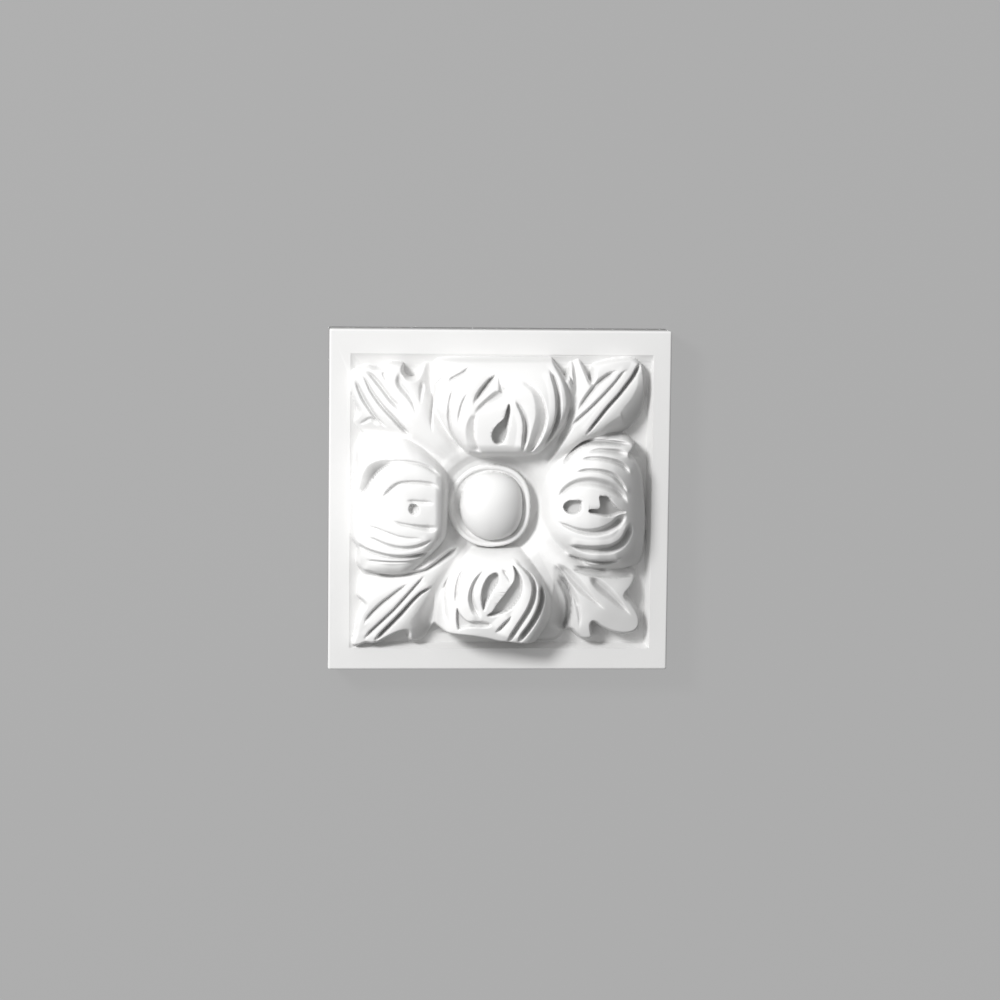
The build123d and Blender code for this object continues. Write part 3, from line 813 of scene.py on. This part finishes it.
def face_height(X, Y):
    """Level of the carved face above the back, and how deep each point lies in a cut, with more added in
    the eyes and the moat for painted shade.
    """
    depth = cuts(X, Y)
    holes = eyes(X, Y)
    z = base(X, Y) + lips(X, Y) - depth - holes
    # Painted shade: the eyes and the moat round the button add to the depth that greys the paint.
    x, y = X - CENTRE[0] + MOAT_SHADE_SHIFT * LIGHT_X, Y - CENTRE[1] - MOAT_SHADE_SHIFT * LIGHT_Y
    in_moat = smooth_step((MOAT_SHADE_RADIUS - np.hypot(x, y)) / MOAT_SHADE_FADE)
    depth = depth + EYE_SHADE * holes + MOAT_SHADE * in_moat
    inside = inside_distance(X, Y, at_level(curve(OUTLINE, closed=True, steps=OUTLINE_STEPS), FACE))
    rim = 1 - np.clip((inside + RIM_OVERLAP) / RIM_ROUND, 0, 1)
    z = FLOOR - ROOT_DEPTH + (z - FLOOR + ROOT_DEPTH) * np.sqrt(1 - rim**2)
    centre = button_and_ring(X, Y)
    depth = np.where(centre > z, 0, depth)
    z = np.maximum(z, centre)
    plinth = plinth_height(X, Y)
    return np.maximum(z, plinth), np.where(plinth > z, 0, depth)


def face_lines(low, high):
    """Grid lines across the block: close together over the carving, few on the border."""
    rim = [EDGE_ROUND * (1 - sin(radians(angle))) for angle in EDGE_ANGLES]
    left = [-HALF + d for d in rim] + [(low - HALF) / 2, low - OPENING_MARGIN]
    right = [high + OPENING_MARGIN, (high + HALF) / 2] + [HALF - d for d in reversed(rim)]
    rise = np.linspace(low, low + BEVEL, BEVEL_LINES)
    middle = np.linspace(low + BEVEL, high - BEVEL, int((high - low) / FIELD_STEP))
    fall = np.linspace(high - BEVEL, high, BEVEL_LINES)
    return np.concatenate([left, rise[:-1], middle, fall[1:], right])


def rounded_plan(x, y, z):
    """Rounds the block's outer edges and upright corners."""
    dx = np.clip(np.abs(x) - HALF + EDGE_ROUND, 0, EDGE_ROUND)
    dy = np.clip(np.abs(y) - HALF + EDGE_ROUND, 0, EDGE_ROUND)
    out = np.maximum(dx, dy)
    z = z - EDGE_ROUND + np.sqrt(EDGE_ROUND**2 - out**2)
    turn = pi / 4 * np.where(dx > dy, dy / np.maximum(dx, TINY), 2 - dx / np.maximum(dy, TINY))
    corner = (dx > 0) & (dy > 0)
    x = np.where(corner, np.sign(x) * (HALF - EDGE_ROUND + out * np.cos(turn)), x)
    y = np.where(corner, np.sign(y) * (HALF - EDGE_ROUND + out * np.sin(turn)), y)
    return x, y, z


def block_mesh(X, Y, Z):
    """Closed mesh of the whole block: the carved face, four sides and the flat back."""
    x, y, z = rounded_plan(X, Y, Z)
    top = np.stack([x, y, z], -1).reshape(-1, 3)
    index = np.arange(len(top)).reshape(Z.shape)
    quads = np.stack([index[:-1, :-1], index[:-1, 1:], index[1:, 1:], index[1:, :-1]], -1).reshape(-1, 4)
    rim = np.concatenate([index[0, :-1], index[:-1, -1], index[-1, :0:-1], index[:0:-1, 0]])
    points, faces = [top], [quads]
    upper = rim
    for step, level in enumerate((FACE - 2 * EDGE_ROUND, EDGE_ROUND, 0.0)):
        ring = top[rim].copy()
        ring[:, 2] = level
        lower = len(top) + step * len(rim) + np.arange(len(rim))
        points.append(ring)
        faces.append(np.stack([upper, lower, np.roll(lower, -1), np.roll(upper, -1)], -1))
        upper = lower
    back = [[int(i) for i in upper[::-1]]]
    mesh = bpy.data.meshes.new("carved_block")
    mesh.from_pydata((np.concatenate(points) * MM).tolist(), [], np.concatenate(faces).tolist() + back)
    mesh.update()
    return mesh


def positions(mesh):
    """Places of a mesh's vertices in millimetres, as three rows."""
    flat = np.empty(3 * len(mesh.vertices))
    mesh.vertices.foreach_get("co", flat)
    return flat.reshape(-1, 3).T / MM


def crisp_opening(mesh):
    """Marks both edges of the opening's bevel as sharp."""
    x, y, z = positions(mesh)
    inset = np.minimum(
        np.minimum(x - OPENING_LEFT, OPENING_RIGHT - x), np.minimum(y - OPENING_BOTTOM, OPENING_TOP - y)
    )
    brink = (np.abs(inset) < MARK_REACH) & (np.abs(z - FACE) < MARK_REACH)
    foot = (np.abs(inset - BEVEL) < MARK_REACH) & (np.abs(z - FLOOR) < MARK_REACH)
    pairs = np.empty(2 * len(mesh.edges), int)
    mesh.edges.foreach_get("vertices", pairs)
    a, b = pairs.reshape(-1, 2).T
    mark = mesh.attributes.get("sharp_edge") or mesh.attributes.new("sharp_edge", "BOOLEAN", "EDGE")
    mark.data.foreach_set("value", (brink[a] & brink[b]) | (foot[a] & foot[b]))


def mark_cavities(mesh, xs, ys, depth):
    """Keeps each vertex's depth below the base form, in millimetres, for the painted shade in the cuts."""
    x, y, z = positions(mesh)
    column = np.clip(np.searchsorted(xs, x), 0, len(xs) - 1)
    row = np.clip(np.searchsorted(ys, y), 0, len(ys) - 1)
    mark = mesh.attributes.new("cavity", "FLOAT", "POINT")
    mark.data.foreach_set("value", np.where(z > FLOOR, depth[row, column], 0))


def applied(piece, kind, **settings):
    """Applies a modifier to a piece."""
    modifier = piece.modifiers.new(kind.lower(), kind)
    for name, value in settings.items():
        setattr(modifier, name, value)
    bpy.ops.object.modifier_apply(modifier=modifier.name)


def carved_block():
    """The whole block as one piece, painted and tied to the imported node."""
    xs = face_lines(OPENING_LEFT, OPENING_RIGHT)
    ys = face_lines(OPENING_BOTTOM, OPENING_TOP)
    X, Y = np.meshgrid(xs, ys)
    Z, depth = face_height(X, Y)
    mesh = block_mesh(X, Y, Z)
    piece = bpy.data.objects.new("carved_block", mesh)
    bpy.context.scene.collection.objects.link(piece)
    bpy.context.view_layer.objects.active = piece
    mesh.polygons.foreach_set("use_smooth", [True] * len(mesh.polygons))
    triangles = sum(len(face.vertices) - 2 for face in mesh.polygons)
    applied(piece, "DECIMATE", ratio=TRIANGLES / triangles)
    crisp_opening(mesh)
    applied(piece, "WEIGHTED_NORMAL", keep_sharp=True)
    mark_cavities(mesh, xs, ys, depth)
    mesh.materials.append(primer())
    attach(piece, "root")
    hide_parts("rosette_block")


def primer():
    """Matt white primer with a faint mottle and fine grain; painted light whitens the heights and painted
    shade greys the cuts.
    """
    material = bpy.data.materials.new("white_primer")
    material.use_nodes = True
    nodes = material.node_tree.nodes
    links = material.node_tree.links
    shader = nodes["Principled BSDF"]
    shader.inputs["IOR"].default_value = PAINT_IOR
    place = nodes.new("ShaderNodeTexCoord")

    def noise(scale, detail, rough):
        node = nodes.new("ShaderNodeTexNoise")
        node.inputs["Scale"].default_value = scale
        node.inputs["Detail"].default_value = detail
        node.inputs["Roughness"].default_value = rough
        links.new(place.outputs["Object"], node.inputs["Vector"])
        return node.outputs["Fac"]

    def mapped(value, low, high, to_low, to_high):
        node = nodes.new("ShaderNodeMapRange")
        node.inputs["From Min"].default_value = low
        node.inputs["From Max"].default_value = high
        node.inputs["To Min"].default_value = to_low
        node.inputs["To Max"].default_value = to_high
        links.new(value, node.inputs["Value"])
        return node.outputs["Result"]

    def combined(operation, a, b):
        node = nodes.new("ShaderNodeMath")
        node.operation = operation
        links.new(a, node.inputs[0])
        links.new(b, node.inputs[1])
        return node.outputs["Value"]

    level = nodes.new("ShaderNodeSeparateXYZ")
    links.new(place.outputs["Object"], level.inputs["Vector"])
    # Painted light: the paint grows whiter with height above the face, standing in for the light the
    # heights catch.
    height = mapped(level.outputs["Z"], FACE * MM, (FACE + PAINTED_LIGHT_RISE) * MM, PAINT_LOW, PAINT_HIGH)
    # Painted shade: the paint greys with the depth of a cut, in the eyes and round the moat, standing in
    # for the shade that falls there.
    cavity = nodes.new("ShaderNodeAttribute")
    cavity.attribute_name = "cavity"
    painted_cavity_shade = mapped(cavity.outputs["Fac"], CAVITY_START, CAVITY_DEPTH, 1.0, CAVITY_SHADE)
    mottle = mapped(noise(**MOTTLE), *MOTTLE_SPAN, *MOTTLE_SHARES)
    tone = combined("MULTIPLY", combined("MULTIPLY", height, painted_cavity_shade), mottle)
    colour = nodes.new("ShaderNodeMix")
    colour.data_type = "RGBA"
    colour.inputs["A"].default_value = (0, 0, 0, 1)
    colour.inputs["B"].default_value = PAINT_TINT
    links.new(tone, colour.inputs["Factor"])
    links.new(colour.outputs["Result"], shader.inputs["Base Color"])
    links.new(mapped(noise(**SHEEN), *SHEEN_SPAN, *ROUGHNESSES), shader.inputs["Roughness"])

    grain = nodes.new("ShaderNodeBump")
    grain.inputs["Strength"].default_value = GRAIN_STRENGTH
    grain.inputs["Distance"].default_value = GRAIN_DEPTH * MM
    links.new(noise(**GRAIN), grain.inputs["Height"])
    links.new(grain.outputs["Normal"], shader.inputs["Normal"])
    return material


def backdrop():
    """Floor under the block, seen by the camera as a nearly even grey that takes a faint shadow."""
    mesh = bpy.data.meshes.new("floor")
    half = FLOOR_HALF * MM
    corners = [(-half, -half, 0), (half, -half, 0), (half, half, 0), (-half, half, 0)]
    mesh.from_pydata(corners, [], [(0, 1, 2, 3)])
    floor = bpy.data.objects.new("floor", mesh)
    bpy.context.scene.collection.objects.link(floor)
    material = bpy.data.materials.new("backdrop_grey")
    material.use_nodes = True
    nodes = material.node_tree.nodes
    links = material.node_tree.links
    nodes.clear()
    glow = nodes.new("ShaderNodeEmission")
    glow.inputs["Color"].default_value = (BACKDROP_GREY, BACKDROP_GREY, BACKDROP_GREY, 1)
    matt = nodes.new("ShaderNodeBsdfDiffuse")
    matt.inputs["Color"].default_value = (FLOOR_BOUNCE, FLOOR_BOUNCE, FLOOR_BOUNCE, 1)
    path = nodes.new("ShaderNodeLightPath")
    seen = nodes.new("ShaderNodeMath")
    seen.operation = "MULTIPLY"
    seen.inputs[1].default_value = BACKDROP_GLOW_SHARE
    links.new(path.outputs["Is Camera Ray"], seen.inputs[0])
    mix = nodes.new("ShaderNodeMixShader")
    links.new(seen.outputs["Value"], mix.inputs["Fac"])
    links.new(matt.outputs["BSDF"], mix.inputs[1])
    links.new(glow.outputs["Emission"], mix.inputs[2])
    output = nodes.new("ShaderNodeOutputMaterial")
    links.new(mix.outputs["Shader"], output.inputs["Surface"])
    mesh.materials.append(material)


def placed(name, data, right, up, away, place):
    """Links an object that looks along the opposite of away, with its place in millimetres."""
    item = bpy.data.objects.new(name, data)
    bpy.context.scene.collection.objects.link(item)
    turn = Matrix((right, up, away)).transposed().to_4x4()
    item.matrix_world = Matrix.Translation(tuple(place * MM)) @ turn
    return item


def lamps():
    """One large key lamp to the upper left, and a white room."""
    key = bpy.data.lights.new("key", "AREA")
    key.shape = "DISK"
    key.size = KEY_SIZE * MM
    key.energy = KEY_POWER
    turn, rise = radians(KEY_AZIMUTH), radians(KEY_ELEVATION)
    away = np.array([-cos(turn) * cos(rise), sin(turn) * cos(rise), sin(rise)])
    right = np.cross([0.0, 1.0, 0.0], away)
    right /= np.linalg.norm(right)
    placed("key", key, right, np.cross(away, right), away, away * KEY_DISTANCE)
    room(away)


def room(bright_side):
    """White room that is brighter on the key lamp's side and dims evenly to the other."""
    world = bpy.data.worlds.new("room")
    bpy.context.scene.world = world
    world.use_nodes = True
    nodes = world.node_tree.nodes
    links = world.node_tree.links
    direction = nodes.new("ShaderNodeTexCoord")
    toward = nodes.new("ShaderNodeVectorMath")
    toward.operation = "DOT_PRODUCT"
    toward.inputs[1].default_value = (bright_side[0], bright_side[1], 0)
    links.new(direction.outputs["Generated"], toward.inputs[0])
    level = nodes.new("ShaderNodeMapRange")
    level.inputs["From Min"].default_value = -FILL_TURN
    level.inputs["From Max"].default_value = FILL_TURN
    level.inputs["To Min"].default_value = FILL_FAR
    level.inputs["To Max"].default_value = FILL_NEAR
    links.new(toward.outputs["Value"], level.inputs["Value"])
    nodes["Background"].inputs["Color"].default_value = (1, 1, 1, 1)
    links.new(level.outputs["Result"], nodes["Background"].inputs["Strength"])


def camera():
    """Camera at the photograph's own place and angle."""
    data = bpy.data.cameras.new("camera")
    data.sensor_width = SENSOR_WIDTH
    data.lens = CAMERA_LENS
    place, right, up, away = camera_frame()
    bpy.context.scene.camera = placed("camera", data, right, up, away, place)


carved_block()
backdrop()
lamps()
camera()
bpy.context.scene.view_settings.view_transform = "Standard"
